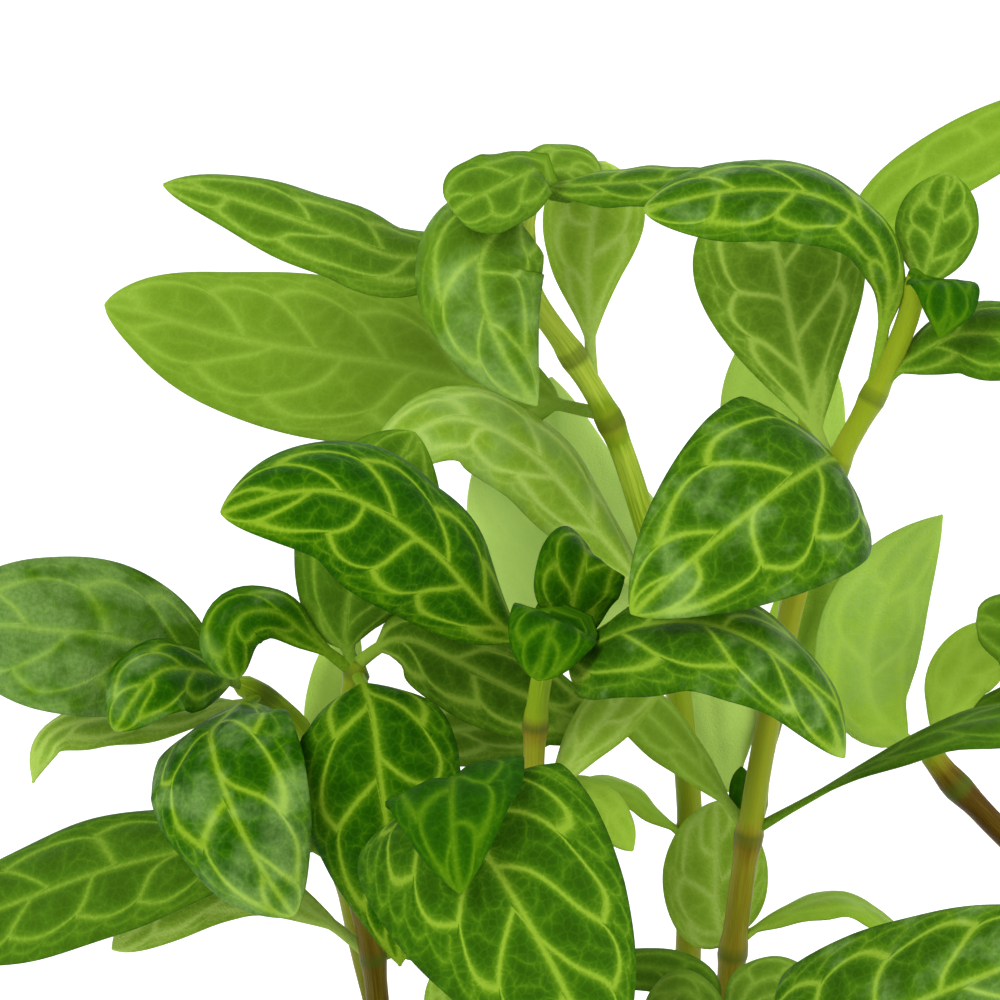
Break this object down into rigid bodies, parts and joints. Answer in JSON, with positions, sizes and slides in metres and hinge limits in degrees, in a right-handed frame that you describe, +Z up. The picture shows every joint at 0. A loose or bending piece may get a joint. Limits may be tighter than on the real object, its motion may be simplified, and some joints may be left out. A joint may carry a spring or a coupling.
{
  "type": "potted hygrophila",
  "caption": "Water plant with net-veined oval leaves on slender stems, standing in mineral wool in a slotted black plastic pot.",
  "frame": {"origin": "centre of the pot's foot, on the surface that it stands on", "axes": "+Z up along the pot's axis, -Y towards the side that the picture shows, +X to the right in that view"},
  "size_m": [0.1096, 0.0689, 0.1555],
  "materials": {
    "pot_plastic": "matte",
    "mineral_wool": "matte",
    "leaf": "satin"
  },
  "bodies": {
    "root": {"pot": "pot_plastic", "wool_plug": "mineral_wool", "stem_a": "leaf", "stem_b": "leaf", "stem_c": "leaf", "stem_d": "leaf", "stem_f": "leaf", "stem_g": "leaf", "stem_r": "leaf", "stem_s": "leaf", "stem_v": "leaf"}
  },
  "joints": []
}
